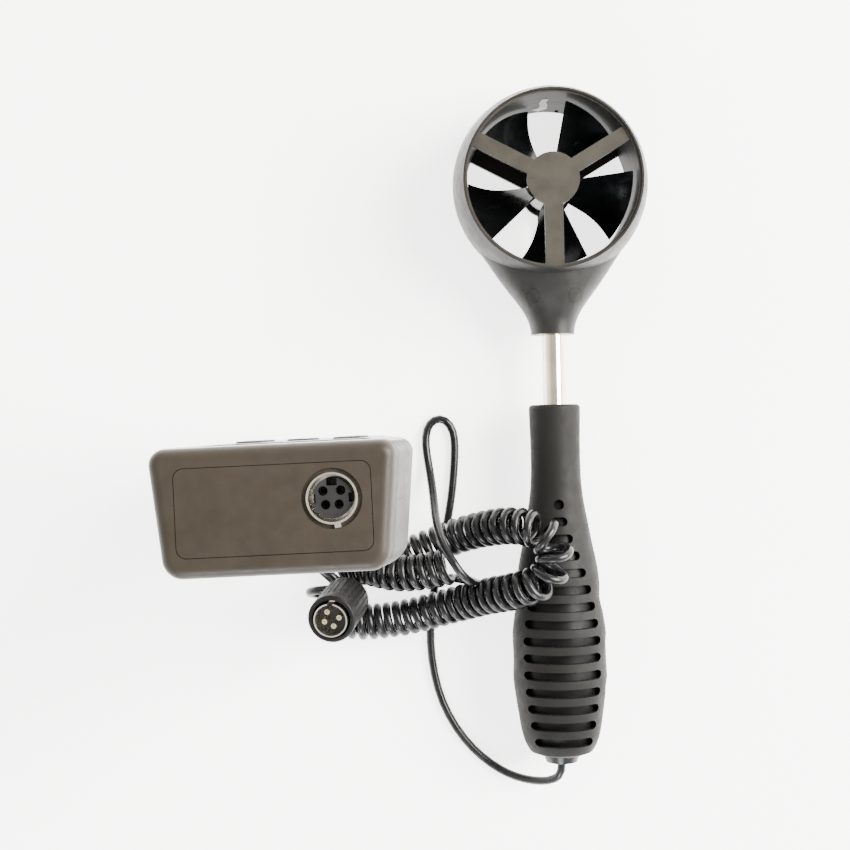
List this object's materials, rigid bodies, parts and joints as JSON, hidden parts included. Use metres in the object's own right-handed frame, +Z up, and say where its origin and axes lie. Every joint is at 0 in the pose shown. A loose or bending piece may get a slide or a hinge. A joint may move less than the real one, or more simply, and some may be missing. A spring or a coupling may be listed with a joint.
{
  "type": "vane anemometer",
  "caption": "Hand-held vane anemometer: upright meter with a round socket, slotted-grip vane probe on a telescopic stem, and a curled lead with its plug.",
  "frame": {"origin": "middle of the underside of the box round the meter and probe, on the surface they rest on, the cord left out", "axes": "+Z up along the standing meter, +Y along the probe towards its vane head, +X from the meter to the probe"},
  "size_m": [0.1728, 0.2784, 0.18],
  "materials": {
    "meter_light": "satin, fine texture",
    "meter_dark": "satin, fine texture",
    "nickel": "polished",
    "black_gloss": "glossy",
    "gold_contact": "polished",
    "window": "clear",
    "lcd": "satin",
    "label": "satin",
    "key": "satin",
    "silicone": "matte",
    "circuit_board": "satin",
    "steel": "turned",
    "battery": "satin",
    "head_abs": "satin, fine texture",
    "guard_abs": "satin",
    "brass_bearing": "turned",
    "impeller_gloss": "glossy",
    "magnet": "ground",
    "polished_steel": "polished",
    "nylon": "satin",
    "grip_rubber": "matte",
    "cord_pvc": "glossy",
    "plug_pvc": "satin, ribbed"
  },
  "bodies": {
    "frame": {"front_case": "meter_light", "rear_case": "meter_dark", "top_end_cap": "meter_dark", "end_plate": "meter_dark", "socket_shell": "nickel", "socket_insulator": "black_gloss", "socket_contacts": "gold_contact", "display_window": "window", "lcd_panel": "lcd", "front_label": "label", "key_mat": "silicone", "main_board": "circuit_board", "board_screws": "steel", "battery": "battery", "battery_contacts": "nickel", "contact_board": "circuit_board", "battery_door": "meter_dark", "door_screw": "steel", "case_screws": "steel", "outer_tube": "polished_steel", "tube_bush": "nylon", "handle_grip": "grip_rubber", "handle_core": "black_gloss", "cable_gland": "cord_pvc", "cable_clamp": "nylon", "lead_inside_handle": "cord_pvc", "lead_tube": "cord_pvc", "coil_tube": "cord_pvc", "coil_tail_tube": "cord_pvc", "plug_body": "plug_pvc", "plug_strain_relief": "plug_pvc", "plug_shell": "nickel", "plug_insulator": "black_gloss", "plug_pins": "gold_contact"},
    "vane_head": {"head_front_shell": "head_abs", "head_rear_shell": "head_abs", "head_screws": "steel", "neck_caps": "head_abs", "front_guard": "guard_abs", "rear_guard": "guard_abs", "front_bearing": "brass_bearing", "rear_bearing": "brass_bearing", "sensor_board": "circuit_board", "sensor_chip": "black_gloss", "neck_collar": "black_gloss", "inner_tube": "polished_steel", "tube_stop": "nylon"},
    "impeller": {"impeller": "impeller_gloss", "impeller_shaft": "steel", "rotor_magnet": "magnet"},
    "key_power_cap": {"key_power": "key"},
    "key_hold_cap": {"key_hold": "key"},
    "key_max_min_cap": {"key_max_min": "key"},
    "key_unit_cap": {"key_unit": "key"},
    "key_light_cap": {"key_light": "key"}
  },
  "joints": [
    {"name": "rod_extend", "type": "slide", "parent": "frame", "child": "vane_head", "axis": [0, 1, 0], "range_m": [0, 0.065]},
    {"name": "impeller_spin", "type": "hinge", "parent": "vane_head", "child": "impeller", "pos_m": [0.048, 0.095, 0.0186], "axis": [0, 0, 1], "continuous": true},
    {"name": "key_power_press", "type": "slide", "parent": "frame", "child": "key_power_cap", "axis": [0.0262, -0.9997, 0], "range_m": [0, 0.0008], "stiffness_N_per_m": 1500, "springref_m": -0.0002},
    {"name": "key_hold_press", "type": "slide", "parent": "frame", "child": "key_hold_cap", "axis": [0.0262, -0.9997, 0], "range_m": [0, 0.0008], "stiffness_N_per_m": 1500, "springref_m": -0.0002},
    {"name": "key_max_min_press", "type": "slide", "parent": "frame", "child": "key_max_min_cap", "axis": [0.0262, -0.9997, 0], "range_m": [0, 0.0008], "stiffness_N_per_m": 1500, "springref_m": -0.0002},
    {"name": "key_unit_press", "type": "slide", "parent": "frame", "child": "key_unit_cap", "axis": [0.0262, -0.9997, 0], "range_m": [0, 0.0008], "stiffness_N_per_m": 1500, "springref_m": -0.0002},
    {"name": "key_light_press", "type": "slide", "parent": "frame", "child": "key_light_cap", "axis": [0.0262, -0.9997, 0], "range_m": [0, 0.0008], "stiffness_N_per_m": 1500, "springref_m": -0.0002}
  ]
}
